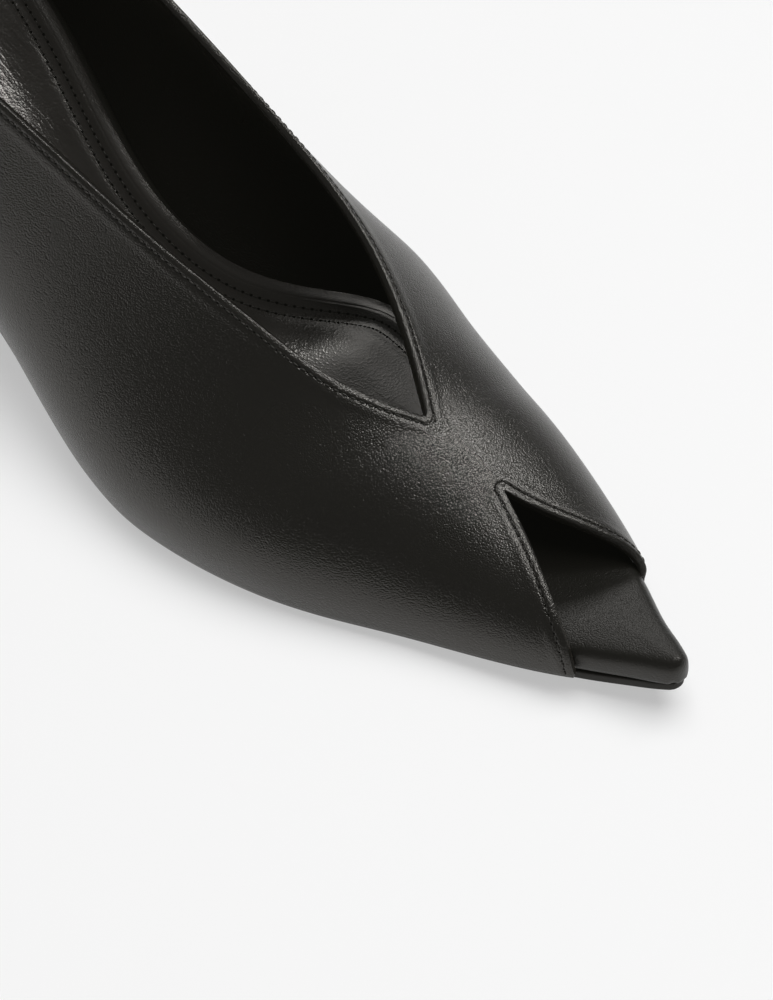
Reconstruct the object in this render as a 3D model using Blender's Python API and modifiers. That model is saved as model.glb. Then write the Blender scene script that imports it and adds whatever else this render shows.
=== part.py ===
"""Pointed open-toe pump, right shoe, in black leather.

Lengths in the tables are millimetres: t runs back from the toe tip, x runs across the shoe with the
inner (medial) side of the foot positive, and z runs up from the floor that the shoe stands on.
The toe points along -Y and the origin is under the middle of the finished shoe.
"""

import math
from typing import NamedTuple

import bmesh
import bpy
import numpy as np

MM = 0.001
LATERAL, MEDIAL = -1, 1

# Driving sizes, millimetres
WALL = 1.6
JOIN_GAP = 0.3
INSOLE_THICK = 3.6
INSOLE_TIP_THICK = 4.6
INSOLE_TIP_T = 20.0
INSOLE_EVEN_T = 50.0
INSOLE_ROUND = 1.7
SOLE_THICK = 2.0
SOLE_ROUND = 0.5
SOCK_THICK = 0.9
SOCK_ROUND = 0.3
INSOLE_INSET = 2.0
INSOLE_TIP_INSET = 0.7
SOCK_INSET = 4.4
FOOTBED_CUP = 2.4
FOOTBED_CUP_POWER = 2
FOOTBED_HALF_WIDTH = 40.0
TREAD_HEIGHT = SOLE_THICK + JOIN_GAP
HEEL_MIDDLE_X = -9.2
HEEL_MIDDLE_T = 212.0


class FootRow(NamedTuple):
    """Feather line, where upper and sole meet: its place on each side, and the inset of the sole's edge."""

    name: str
    lateral_t: float
    lateral_x: float
    medial_t: float
    medial_x: float
    sole_inset: float


FOOT_LINE = (
    FootRow("tip", 0.0, 0.0, 0.0, 0.0, 1.4),
    FootRow("nose", 0.65, -2.1, 0.65, 2.1, 1.4),
    FootRow("nose side", 1.95, -3.3, 1.95, 3.3, 1.4),
    FootRow("toe side", 7.0, -6.35, 9.0, 6.75, 1.6),
    FootRow("toe cut", 15.6, -11.3, 21.4, 13.1, 2.1),
    FootRow("vamp", 45.0, -24.0, 45.0, 21.8, 2.5),
    FootRow("throat", 64.0, -32.8, 64.0, 25.6, 2.5),
    FootRow("joint", 84.0, -38.2, 84.0, 28.4, 2.3),
    FootRow("ball", 104.0, -39.2, 101.0, 28.2, 1.7),
    FootRow("waist front", 122.0, -36.4, 119.5, 12.8, 1.0),
    FootRow("waist", 140.0, -32.9, 138.0, 8.4, 0.6),
    FootRow("shank", 160.0, -31.6, 160.0, 13.2, 0.6),
    FootRow("heel front", 184.0, -32.4, 184.0, 17.2, 0.7),
    FootRow("heel side", 210.0, -33.0, 210.0, 14.8, 0.9),
    FootRow("heel turn", 230.0, -25.4, 230.0, 7.0, 0.9),
    FootRow("back", 239.0, HEEL_MIDDLE_X, 239.0, HEEL_MIDDLE_X, 0.9),
)
NOSE_ROW = 2
TOE_CUT_ROW = 4


class ProfileRow(NamedTuple):
    """Height of the feather line above the floor."""

    t: float
    z: float


PROFILE = (
    ProfileRow(0.0, 8.7),
    ProfileRow(20.0, 5.3),
    ProfileRow(42.0, 3.1),
    ProfileRow(62.0, TREAD_HEIGHT),
    ProfileRow(96.0, TREAD_HEIGHT),
    ProfileRow(110.0, 4.6),
    ProfileRow(122.0, 8.8),
    ProfileRow(136.0, 15.4),
    ProfileRow(150.0, 22.6),
    ProfileRow(172.0, 34.0),
    ProfileRow(190.0, 42.4),
    ProfileRow(206.0, 48.0),
    ProfileRow(222.0, 52.2),
    ProfileRow(240.0, 55.0),
)


class WallRow(NamedTuple):
    """Section of the upper: its top edge, its lean at the sole and its tilt at the top, in degrees.

    The pulls are the lengths of the section's two handles as shares of its chord, and the sweeps the
    shares of its run along the shoe that the handles take.
    """

    top_t: float
    lateral_x: float
    medial_x: float
    top_z: float
    lateral_lean: float
    medial_lean: float
    lateral_tilt: float
    medial_tilt: float
    low_pull: float
    high_pull: float
    low_sweep: float
    high_sweep: float


WALLS = (
    WallRow(44.5, 0.2, 0.2, 22.4, 3.0, 16.0, 0.0, 0.0, 0.36, 0.10, 0.08, 0.48),
    WallRow(53.0, -0.6, -0.6, 25.6, 13.0, 12.0, 0.0, 0.0, 0.38, 0.44, 0.22, 0.28),
    WallRow(61.6, -1.4, -1.4, 28.7, 18.0, 12.0, 4.0, 4.0, 0.38, 0.46, 0.25, 0.25),
    WallRow(74.0, -9.4, 6.2, 33.6, 22.0, 12.0, 28.0, 26.0, 0.38, 0.46, 0.25, 0.25),
    WallRow(92.0, -14.2, 13.5, 40.2, 22.0, 26.0, 46.0, 41.0, 0.36, 0.46, 0.25, 0.25),
    WallRow(112.0, -17.6, 16.7, 46.6, 20.0, 42.0, 56.0, 55.0, 0.36, 0.46, 0.25, 0.25),
    WallRow(133.0, -19.8, 17.8, 53.4, 18.0, 34.0, 62.0, 70.0, 0.36, 0.44, 0.25, 0.25),
    WallRow(157.0, -22.6, 17.4, 62.2, 16.0, 25.0, 66.0, 76.0, 0.36, 0.42, 0.25, 0.25),
    WallRow(183.0, -26.6, 15.2, 73.4, 14.0, 18.0, 72.0, 78.0, 0.36, 0.40, 0.25, 0.25),
    WallRow(209.0, -28.4, 11.6, 86.6, 13.0, 15.0, 78.0, 80.0, 0.36, 0.40, 0.25, 0.25),
    WallRow(230.0, -21.4, 3.4, 97.8, 13.0, 14.0, 80.0, 80.0, 0.36, 0.40, 0.25, 0.25),
    WallRow(238.5, HEEL_MIDDLE_X, HEEL_MIDDLE_X, 101.0, 14.0, 14.0, 80.0, 80.0, 0.36, 0.40, 0.25, 0.25),
)
THROAT_WALL = 2
RIDGE_SLOPE = (WALLS[1].top_z - WALLS[0].top_z) / (WALLS[1].top_t - WALLS[0].top_t)

# Mesh steps: between neighbouring rows of the upper, up its wall, and across the flat pieces
WALL_STEPS = (6, 4, 5, 5, 4, 4, 4, 5, 5, 5, 4)
RISE_STEPS = 11
ACROSS_STEPS = 6
FLAT_STEPS = (2, 2, 2, 4, 5, 3, 3, 3, 3, 3, 3, 3, 4, 5, 5)
RIM_STEPS = 3
MERGE = 0.02
SOCK_FIRST_ROW = 5.6

# Heel and its top piece, millimetres
HEEL_BREAST_T = 190.0
HEEL_TIP_FRONT_T = 214.0
HEEL_TIP_BACK_T = 230.0
HEEL_TIP_WIDTH = 15.0
HEEL_INSET = 0.7
HEEL_SEAT_ROWS = 4
HEEL_SEAT_POINTS = 400
HEEL_LEVELS = 8
HEEL_TAPER = 2.1
HEEL_ROUND_STEPS = 20
HEEL_BREAST_STEPS = 6
TOP_PIECE_HEIGHT = 5.0


class Finish(NamedTuple):
    """Plain look of one material."""

    colour: tuple
    roughness: float
    metallic: float


BLACK_LEATHER = Finish((0.012, 0.012, 0.011), 0.45, 0.0)
SOCK_LEATHER = Finish((0.010, 0.009, 0.008), 0.25, 0.0)
SOLE_LEATHER = Finish((0.008, 0.008, 0.008), 0.55, 0.0)
TOP_PIECE_RUBBER = Finish((0.010, 0.010, 0.010), 0.70, 0.0)


def slopes_through(knots, values, closed):
    """Slopes at the knots of the smooth cubic through the values; the ends are free unless closed."""
    step = np.diff(knots)
    rise = np.diff(values, axis=0) / step[:, None]
    count = len(values) - 1 if closed else len(values)
    matrix = np.zeros((count, count))
    right = np.zeros((count, values.shape[1]))
    for i in range(count):
        if not closed and i in (0, count - 1):
            inner = 1 if i == 0 else count - 2
            matrix[i, i], matrix[i, inner] = 2.0, 1.0
            right[i] = 3.0 * rise[0 if i == 0 else -1]
            continue
        before, after = i - 1, i
        matrix[i, (i - 1) % count] += 1.0 / step[before]
        matrix[i, i] += 2.0 / step[before] + 2.0 / step[after]
        matrix[i, (i + 1) % count] += 1.0 / step[after]
        right[i] = 3.0 * (rise[before] / step[before] + rise[after] / step[after])
    slopes = np.linalg.solve(matrix, right)
    return np.vstack([slopes, slopes[:1]]) if closed else slopes


def level_slopes(knots, values):
    """Slopes at the knots of a cubic that never overshoots its values."""
    step, rise = np.diff(knots), np.diff(values[:, 0]) / np.diff(knots)
    slopes = np.zeros(len(values))
    slopes[0], slopes[-1] = rise[0], rise[-1]
    for i in range(1, len(values) - 1):
        if rise[i - 1] * rise[i] > 0.0:
            near, far = 2.0 * step[i] + step[i - 1], step[i] + 2.0 * step[i - 1]
            slopes[i] = (near + far) / (near / rise[i - 1] + far / rise[i])
    return slopes[:, None]


def cubic_at(knots, values, slopes, where):
    """Values of the cubic at the places asked for."""
    where = np.clip(np.asarray(where, float), knots[0], knots[-1])
    i = np.clip(np.searchsorted(knots, where, side="right") - 1, 0, len(knots) - 2)
    step = (knots[i + 1] - knots[i])[:, None]
    s = (where - knots[i])[:, None] / step
    start, end = values[i], values[i + 1]
    leave, arrive = slopes[i] * step, slopes[i + 1] * step
    return (
        (2 * s**3 - 3 * s**2 + 1) * start
        + (s**3 - 2 * s**2 + s) * leave
        + (3 * s**2 - 2 * s**3) * end
        + (s**3 - s**2) * arrive
    )


def curve_through(points, closed=False):
    """Smooth curve through the points, as a function of the (fractional) number of the point."""
    ring = np.array([*points, points[0]] if closed else points, float)
    chords = np.linalg.norm(np.diff(ring, axis=0), axis=1)
    knots = np.concatenate([[0.0], np.cumsum(chords)])
    slopes = slopes_through(knots, ring, closed)
    numbers = np.arange(len(ring))

    def at(number):
        place = np.interp(np.atleast_1d(number), numbers, knots)
        return cubic_at(knots, ring, slopes, place)

    return at


def column_through(column):
    """Smooth run of one column of the wall table, as a function of the row number."""
    values = np.array(column, float)[:, None]
    knots = np.arange(len(values), dtype=float)
    slopes = slopes_through(knots, values, closed=False)
    return lambda number: cubic_at(knots, values, slopes, np.atleast_1d(number))


LAST_ROW = len(FOOT_LINE) - 1
ROW_STEP = 0.01
SLOPE_STEP = 0.5
FOOT_RING = curve_through(
    [(row.lateral_x, row.lateral_t) for row in FOOT_LINE]
    + [(row.medial_x, row.medial_t) for row in FOOT_LINE[LAST_ROW - 1 : 0 : -1]],
    closed=True,
)


def foot_height(t):
    """Height of the feather line at distances behind the tip."""
    knots = np.array([row.t for row in PROFILE])
    values = np.array([[row.z] for row in PROFILE])
    flat = np.atleast_1d(np.asarray(t, float))
    heights = cubic_at(knots, values, level_slopes(knots, values), flat.ravel())
    return heights[:, 0].reshape(flat.shape)


def level_over(t, lift):
    """Height of a layer that lies so far above the feather line, measured square to its slope."""
    slope = (foot_height(t + SLOPE_STEP) - foot_height(t - SLOPE_STEP)) / (2.0 * SLOPE_STEP)
    return foot_height(t) + lift * np.sqrt(1.0 + slope**2)


def foot_line(row, side, inset=0.0):
    """Plan points (x, t) of the feather line at row numbers on one side, moved in by an inset."""
    row = np.atleast_1d(np.asarray(row, float))
    number = row if side == LATERAL else 2 * LAST_ROW - row
    ahead = FOOT_RING((number + ROW_STEP) % (2 * LAST_ROW))
    behind = FOOT_RING((number - ROW_STEP) % (2 * LAST_ROW))
    run = ahead - behind
    inward = np.stack([run[:, 1], -run[:, 0]], 1) / np.linalg.norm(run, axis=1)[:, None]
    return FOOT_RING(number % (2 * LAST_ROW)) + inward * np.broadcast_to(inset, row.shape)[:, None]


def top_line(row, side):
    """Points (x, t, z) of the upper's top: the ridge from toe cut to throat, then the collar edge."""
    row = np.atleast_1d(np.asarray(row, float))
    ridge = curve_through([(w.lateral_x, w.top_t, w.top_z) for w in WALLS[: THROAT_WALL + 1]])
    lateral = [(w.lateral_x, w.top_t, w.top_z) for w in WALLS[THROAT_WALL:]]
    medial = [(w.medial_x, w.top_t, w.top_z) for w in WALLS[THROAT_WALL:]]
    collar = curve_through(lateral + medial[-2::-1])
    last = len(WALLS) - 1 - THROAT_WALL
    along = np.maximum(row - THROAT_WALL, 0.0)
    edge = collar(along if side == LATERAL else 2 * last - along)
    return np.where((row < THROAT_WALL)[:, None], ridge(np.minimum(row, THROAT_WALL)), edge)


def wall_grid(rows, shares, side):
    """Outside of the upper on one side: a grid of points, wall row by share of the way up."""
    plan = foot_line(rows + TOE_CUT_ROW, side)
    foot = np.column_stack([plan, foot_height(plan[:, 1])])
    top = top_line(rows, side)
    name = "lateral" if side == LATERAL else "medial"
    lean = np.radians(column_through([getattr(w, name + "_lean") for w in WALLS])(rows))
    tilt = np.radians(column_through([getattr(w, name + "_tilt") for w in WALLS])(rows))
    low = column_through([w.low_pull for w in WALLS])(rows)
    high = column_through([w.high_pull for w in WALLS])(rows)
    low_sweep = column_through([w.low_sweep for w in WALLS])(rows)
    high_sweep = column_through([w.high_sweep for w in WALLS])(rows)
    across = side * np.maximum(side * (foot[:, 0] - HEEL_MIDDLE_X), 0.0)
    round_heel = np.maximum(foot[:, 1] - HEEL_MIDDLE_T, 0.0)
    out = np.column_stack([across, round_heel, np.zeros(len(rows))])
    out /= np.linalg.norm(out, axis=1)[:, None]
    up = np.array([0.0, 0.0, 1.0])
    chord = np.linalg.norm(top - foot, axis=1)[:, None]
    run = (top - foot)[:, 1:2]
    low_run = run * low_sweep * np.array([0.0, 1.0, 0.0])
    high_run = run * high_sweep * np.array([0.0, 1.0, RIDGE_SLOPE])
    low_handle = foot + (out * np.sin(lean) + up * np.cos(lean)) * low * chord + low_run
    high_handle = top + (out * np.cos(tilt) - up * np.sin(tilt)) * high * chord - high_run
    v = shares[None, :, None]
    return (
        (1 - v) ** 3 * foot[:, None]
        + 3 * v * (1 - v) ** 2 * low_handle[:, None]
        + 3 * v**2 * (1 - v) * high_handle[:, None]
        + v**3 * top[:, None]
    )


def row_numbers(steps, first=0.0):
    """Row numbers from the first row on, with so many mesh steps between neighbouring rows."""
    numbers = [row + (i + 1) / count for row, count in enumerate(steps) for i in range(count)]
    return np.array([first] + [number for number in numbers if number > first])


def mesh_from_grids(name, grids, closed=False):
    """Sheet from grids of points that share their edges; a closed one has its open end filled."""
    bm = bmesh.new()
    for grid in grids:
        made = [[bm.verts.new(point * MM) for point in line] for line in grid]
        for here, there in zip(made, made[1:]):
            for a, b, c, d in zip(here, there, there[1:], here[1:]):
                bm.faces.new((a, b, c, d))
    bmesh.ops.remove_doubles(bm, verts=bm.verts, dist=MERGE * MM)
    bmesh.ops.dissolve_degenerate(bm, edges=bm.edges, dist=MERGE * MM)
    if closed:
        bmesh.ops.holes_fill(bm, edges=[edge for edge in bm.edges if edge.is_boundary], sides=0)
        bmesh.ops.triangulate(bm, faces=[face for face in bm.faces if len(face.verts) > 4])
    bmesh.ops.recalc_face_normals(bm, faces=bm.faces)
    mesh = bpy.data.meshes.new(name)
    bm.to_mesh(mesh)
    bm.free()
    return mesh


def add_object(name, mesh, finish, collection, parent):
    """Object of one piece with its own material, under the shoe's origin."""
    material = bpy.data.materials.new(name)
    material.use_nodes = True
    shader = material.node_tree.nodes["Principled BSDF"]
    shader.inputs["Base Color"].default_value = (*finish.colour, 1.0)
    shader.inputs["Roughness"].default_value = finish.roughness
    shader.inputs["Metallic"].default_value = finish.metallic
    mesh.materials.append(material)
    mesh.shade_smooth()
    piece = bpy.data.objects.new(name, mesh)
    piece.parent = parent
    collection.objects.link(piece)
    return piece


def thicken(piece, thickness):
    """Wall of a sheet, grown away from its outward side."""
    wall = piece.modifiers.new("wall", "SOLIDIFY")
    wall.thickness = thickness * MM
    wall.offset = -1.0
    wall.use_even_offset = True
    wall.use_quality_normals = True


def build_upper(collection, parent):
    """Hollow upper: both sides joined on the vamp ridge and at the back."""
    rows = row_numbers(WALL_STEPS)
    shares = np.linspace(0.0, 1.0, RISE_STEPS + 1)
    grids = [wall_grid(rows, shares, side) for side in (LATERAL, MEDIAL)]
    upper = add_object("upper", mesh_from_grids("upper", grids), BLACK_LEATHER, collection, parent)
    thicken(upper, WALL)
    return upper


class CupRow(NamedTuple):
    """Share of the footbed's cup at a row of the feather line."""

    row: float
    share: float


FOOTBED_CUP_ROWS = (CupRow(5.6, 0.0), CupRow(7.6, 1.0), CupRow(11.5, 1.0), CupRow(13.0, 0.0))


def footbed_rise(rows, inset):
    """Rise at the edge of a layer on the cupped footbed, by its inset from the feather line."""
    share = np.interp(rows, [cup.row for cup in FOOTBED_CUP_ROWS], [cup.share for cup in FOOTBED_CUP_ROWS])
    reach = 1.0 - (inset - INSOLE_INSET) / FOOTBED_HALF_WIDTH
    return FOOTBED_CUP * share**2 * (3.0 - 2.0 * share) * reach**FOOTBED_CUP_POWER


class Pad(NamedTuple):
    """Layer over the foot's plan: its underside and top above the feather line, and its rim's roundings.

    The cups say whether its underside and its top rise toward the sides with the footbed.
    """

    low: float
    high: float
    low_round: float
    high_round: float
    low_cup: float = 0.0
    high_cup: float = 0.0


def pad_mesh(name, pad, inset, first_row=0.0, thickness=np.ones_like):
    """Closed layer with a rounded rim, inset for each row and made thicker at each distance as asked."""
    rows = row_numbers(FLAT_STEPS, first_row)
    insets = inset(rows)
    turn = np.linspace(0.0, math.pi / 2.0, RIM_STEPS + 1)
    near, far = 1.0 - np.cos(turn), 1.0 - np.sin(turn)
    rim = list(zip(pad.low_round * far, pad.low + pad.low_round * near))
    rim += list(zip(pad.high_round * near, pad.high - pad.high_round * far))

    rise = footbed_rise(rows, insets)

    def height(t, lift, edge_rise):
        cup = np.interp(lift, (pad.low, pad.high), (pad.low_cup, pad.high_cup))
        return level_over(t, lift * thickness(t) + cup * edge_rise)

    def outline(side, further, lift):
        plan = foot_line(rows, side, insets + further)
        return np.column_stack([plan, height(plan[:, 1], lift, rise)])

    grids = [np.stack([outline(side, *place) for place in rim], axis=1) for side in (LATERAL, MEDIAL)]
    share = np.linspace(0.0, 1.0, ACROSS_STEPS + 1)[None, :, None]
    aside = np.abs(2.0 * share[..., 0] - 1.0) ** FOOTBED_CUP_POWER
    for further, lift in (rim[0], rim[-1]):
        lateral, medial = (outline(side, further, lift)[:, None, :2] for side in (LATERAL, MEDIAL))
        plan = lateral * (1.0 - share) + medial * share
        z = height(plan[..., 1], lift, rise[:, None] * aside)
        grids.append(np.concatenate([plan, z[..., None]], axis=2))
    return mesh_from_grids(name, grids, closed=True)


def insole_inset(rows):
    """Inset of the insole: clear of the upper's wall, and nearly flush at the nose."""
    return np.interp(rows, (NOSE_ROW, TOE_CUT_ROW), (INSOLE_TIP_INSET, INSOLE_INSET))


def insole_thickness(t):
    """Thickness of the insole by the distance behind the tip, as a multiple of its even part."""
    return np.interp(t, (INSOLE_TIP_T, INSOLE_EVEN_T), (INSOLE_TIP_THICK / INSOLE_THICK, 1.0))


def build_insole(collection, parent):
    """Leather-covered insole with its rounded tip in front of the toe cut."""
    pad = Pad(0.0, INSOLE_THICK, 0.0, INSOLE_ROUND, high_cup=1.0)
    mesh = pad_mesh("insole", pad, insole_inset, thickness=insole_thickness)
    return add_object("insole", mesh, BLACK_LEATHER, collection, parent)


def sock_inset(rows):
    """Inset of the sock at row numbers."""
    return np.full(len(rows), SOCK_INSET)


def build_sock(collection, parent):
    """Sock lining pad on the insole, from under the vamp to the heel."""
    low = INSOLE_THICK + JOIN_GAP
    pad = Pad(low, low + SOCK_THICK, 0.0, SOCK_ROUND, low_cup=1.0, high_cup=1.0)
    mesh = pad_mesh("sock", pad, sock_inset, SOCK_FIRST_ROW)
    return add_object("sock", mesh, SOCK_LEATHER, collection, parent)


def sole_inset(rows):
    """Inset of the outsole at row numbers."""
    return column_through([row.sole_inset for row in FOOT_LINE])(rows)[:, 0]


def build_outsole(collection, parent):
    """Thin outsole: toe spring, flat tread, arch and heel seat."""
    pad = Pad(-(JOIN_GAP + SOLE_THICK), -JOIN_GAP, SOLE_ROUND, 0.0)
    return add_object("outsole", pad_mesh("outsole", pad, sole_inset), SOLE_LEATHER, collection, parent)


def heel_tip_ring():
    """Plan of the heel's tip: a straight breast with a round back."""
    half = HEEL_TIP_WIDTH / 2.0
    middle_t = HEEL_TIP_BACK_T - half
    turn = np.linspace(0.0, math.pi, HEEL_ROUND_STEPS + 1)
    back = [(HEEL_MIDDLE_X - half * math.cos(a), middle_t + half * math.sin(a)) for a in turn]
    front = np.linspace(1.0, -1.0, HEEL_BREAST_STEPS + 1)
    breast = [(HEEL_MIDDLE_X + half * f, HEEL_TIP_FRONT_T) for f in front]
    return np.array(back + breast)


def heel_seat_ring():
    """Plan of the heel under the seat, point for point with the ring of its tip."""
    rows = np.linspace(LAST_ROW - HEEL_SEAT_ROWS, LAST_ROW, HEEL_SEAT_POINTS)
    lateral = foot_line(rows, LATERAL, HEEL_INSET)
    medial = foot_line(rows, MEDIAL, HEEL_INSET)[::-1]
    line = np.concatenate([lateral, medial[1:]])
    line = line[line[:, 1] >= HEEL_BREAST_T]
    length = np.concatenate([[0.0], np.cumsum(np.linalg.norm(np.diff(line, axis=0), axis=1))])
    place = np.linspace(0.0, length[-1], HEEL_ROUND_STEPS + 1)
    back = np.column_stack([np.interp(place, length, line[:, i]) for i in (0, 1)])
    share = np.linspace(0.0, 1.0, HEEL_BREAST_STEPS + 1)[:, None]
    breast = back[-1] * (1.0 - share) + back[0] * share
    return np.concatenate([back, breast])


def loft_closed(name, rings):
    """Closed solid through rings of points, with both ends filled."""
    bm = bmesh.new()
    made = [[bm.verts.new(point * MM) for point in ring] for ring in rings]
    for low, high in zip(made, made[1:]):
        for i in range(len(low)):
            j = (i + 1) % len(low)
            bm.faces.new((low[i], low[j], high[j], high[i]))
    for ring in (made[0], made[-1]):
        bm.faces.new(ring)
    bmesh.ops.remove_doubles(bm, verts=bm.verts, dist=MERGE * MM)
    bmesh.ops.triangulate(bm, faces=[face for face in bm.faces if len(face.verts) > 4])
    bmesh.ops.recalc_face_normals(bm, faces=bm.faces)
    mesh = bpy.data.meshes.new(name)
    bm.to_mesh(mesh)
    bm.free()
    return mesh


def build_heel(collection, parent):
    """Slim heel, from the curved seat down to its tip."""
    seat, tip = heel_seat_ring(), heel_tip_ring()
    under_sole = level_over(seat[:, 1], -(JOIN_GAP + SOLE_THICK + JOIN_GAP))
    foot = TOP_PIECE_HEIGHT + JOIN_GAP
    rings = []
    for level in range(HEEL_LEVELS + 1):
        drop = level / HEEL_LEVELS
        narrow = 1.0 - (1.0 - drop) ** HEEL_TAPER
        plan = seat * (1.0 - narrow) + tip * narrow
        rings.append(np.column_stack([plan, under_sole * (1.0 - drop) + foot * drop]))
    return add_object("heel", loft_closed("heel", rings), BLACK_LEATHER, collection, parent)


def build_top_piece(collection, parent):
    """Wear pad under the heel's tip."""
    tip = heel_tip_ring()
    rings = [np.column_stack([tip, np.full(len(tip), z)]) for z in (TOP_PIECE_HEIGHT, 0.0)]
    return add_object("top_piece", loft_closed("top_piece", rings), TOP_PIECE_RUBBER, collection, parent)


def centre_on_floor(pieces, origin):
    """Moves the shoe so that its box stands on the origin, centred."""
    bpy.context.view_layer.update()
    graph = bpy.context.evaluated_depsgraph_get()
    corners = np.array([corner[:] for piece in pieces for corner in piece.evaluated_get(graph).bound_box])
    low, high = corners.min(0), corners.max(0)
    origin.location = (-(low[0] + high[0]) / 2.0, -(low[1] + high[1]) / 2.0, -low[2])


def main():
    """Builds the shoe."""
    for old in list(bpy.data.objects):
        bpy.data.objects.remove(old)
    collection = bpy.data.collections.new("pointed_toe_pump")
    bpy.context.scene.collection.children.link(collection)
    origin = bpy.data.objects.new("shoe_origin", None)
    collection.objects.link(origin)
    builders = (build_upper, build_insole, build_sock, build_outsole, build_heel, build_top_piece)
    centre_on_floor([build(collection, origin) for build in builders], origin)


if __name__ == "__main__":
    main()
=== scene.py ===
"""Dressed model of a pointed open-toe pump, right shoe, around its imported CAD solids.

Lengths are metres in the frame of the CAD part: the toe points along -Y, +X is the inner side of the foot
and +Z is up. Sizes that read better in millimetres are multiplied by MM.
"""

from __future__ import annotations

import logging
import math
from dataclasses import dataclass, field
from enum import Enum

import bmesh
import bpy
import numpy as np
from mathutils import Matrix, Vector
from mathutils.bvhtree import BVHTree
from mathutils.kdtree import KDTree


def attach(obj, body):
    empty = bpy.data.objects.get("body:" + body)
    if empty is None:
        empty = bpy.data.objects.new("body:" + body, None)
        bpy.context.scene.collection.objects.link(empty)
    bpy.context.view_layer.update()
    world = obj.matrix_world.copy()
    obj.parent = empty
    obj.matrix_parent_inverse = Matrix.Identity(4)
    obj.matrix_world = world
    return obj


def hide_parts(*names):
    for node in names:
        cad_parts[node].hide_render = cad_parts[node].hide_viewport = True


LOG = logging.getLogger("pump")
MM = 0.001
BODY = "root"
EDGE_ATTRIBUTE = "edge_mm"
WARM_GLOSS = (1.0, 0.965, 0.91)
WARM_SHEEN = (1.0, 0.88, 0.72)
WHITE = (1.0, 1.0, 1.0, 1.0)
SHEEN_ROUGHNESS = 0.35
DRIFT_RANGE = (0.25, 0.75)
CURVE_STEPS = 12
IN_PLAN = np.array([1.0, 1.0, 0.0])
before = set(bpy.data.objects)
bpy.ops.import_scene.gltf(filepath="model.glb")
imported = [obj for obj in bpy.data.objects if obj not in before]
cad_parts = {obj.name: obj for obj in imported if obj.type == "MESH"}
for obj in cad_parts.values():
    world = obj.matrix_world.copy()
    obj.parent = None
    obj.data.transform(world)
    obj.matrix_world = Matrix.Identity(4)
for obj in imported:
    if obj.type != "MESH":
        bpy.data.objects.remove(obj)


class Skin(Enum):
    """Parts of the upper's surface, by the number of their material slot."""

    OUTER = 0
    LINING = 1
    EDGE = 2


class Lights(Enum):
    """What a lamp gives: shine on all leather, shine on the sock alone, or even light on the rest."""

    SHINE = "shine"
    SOCK_SHINE = "sock_shine"
    SHADE = "shade"


class Lamp(Enum):
    """Lights of the studio: name, place, width, height, watts, the point they face and what they give."""

    SOFT_BOX = ("soft_box", (0.585, -0.085, 0.965), 0.30, 0.38, 6.2, (0.0, -0.04, 0.03), Lights.SHINE)
    TOP_BOX = ("top_box", (0.207, 0.300, 0.980), 0.26, 0.34, 8.0, (0.018, -0.027, 0.009), Lights.SOCK_SHINE)
    BACKDROP = ("backdrop", (0.62, 0.69, 0.66), 0.34, 0.30, 1.45, (0.0, -0.10, 0.01), Lights.SHINE)
    SIDE_CARD = ("side_card", (-0.90, 0.40, 0.12), 0.36, 0.22, 0.34, (0.0, 0.0, 0.02), Lights.SHINE)
    OVERHEAD = ("overhead", (0.24, -0.18, 1.22), 1.10, 1.10, 16.4, (0.0, 0.0, 0.0), Lights.SHADE)


@dataclass(frozen=True)
class Tone:
    """Colour, gloss and relief of one finish."""

    name: str
    colour: tuple[float, float, float]
    second: tuple[float, float, float]
    roughness: float
    roughness_spread: float
    specular: float
    grain_mm: float
    grain_depth_mm: float
    fold_depth_mm: float = 0.0
    fold_at_mm: float = 1.4
    fold_half_mm: float = 0.26
    fold_swell: float = 0.0
    matte_within_mm: float = 0.0
    matte_roughness: float = 0.0
    matte_blend_mm: float = 0.2
    wrinkle_depth_mm: float = 0.0
    sheen: float = 0.0


UPPER_LEATHER = Tone("upper_leather", (0.0055, 0.0051, 0.0042), (0.0075, 0.0068, 0.0056), 0.28, 0.07, 0.60,
                     0.32, 0.064, fold_depth_mm=0.11, fold_swell=0.8, sheen=0.03)
EDGE_LEATHER = Tone("folded_edge", (0.0080, 0.0080, 0.0073), (0.0100, 0.0096, 0.0088), 0.28, 0.06, 0.45,
                    0.30, 0.010, fold_depth_mm=0.07, fold_at_mm=0.62, fold_half_mm=0.14)
LINING_LEATHER = Tone("lining", (0.0240, 0.0235, 0.0205), (0.0300, 0.0290, 0.0255), 0.50, 0.08, 0.30,
                      0.40, 0.030)
INSOLE_LEATHER = Tone("insole_cover", (0.0055, 0.0052, 0.0043), (0.0075, 0.0070, 0.0058), 0.32, 0.08, 0.42,
                      0.29, 0.044)
SOCK_LEATHER = Tone("sock_lining", (0.0075, 0.0066, 0.0056), (0.0105, 0.0092, 0.0078), 0.17, 0.07, 0.45,
                    0.42, 0.020, fold_depth_mm=0.05, fold_at_mm=2.4, fold_half_mm=0.20, fold_swell=0.4,
                    matte_within_mm=2.4, matte_roughness=0.06, wrinkle_depth_mm=0.11)
SOLE_LEATHER = Tone("sole_leather", (0.0060, 0.0057, 0.0053), (0.0095, 0.0088, 0.0080), 0.58, 0.14, 0.3,
                    0.40, 0.020)
TOP_PIECE_RUBBER = Tone("top_piece_rubber", (0.0080, 0.0080, 0.0080), (0.0110, 0.0110, 0.0110), 0.66, 0.10,
                        0.4, 0.35, 0.018)
THREAD = Tone("thread", (0.0120, 0.0115, 0.0100), (0.0180, 0.0170, 0.0150), 0.42, 0.10, 0.5, 0.16, 0.020)
# Near-black colour of the ovals at the needle holes: painted shade, standing in for the dark inside of the
# punctures.
NEEDLE_HOLE_SHADE = Tone("needle_hole_painted_shade", (0.0010, 0.0010, 0.0009), (0.0016, 0.0015, 0.0014), 0.85, 0.06, 0.05,
                   0.16, 0.010)


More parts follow.
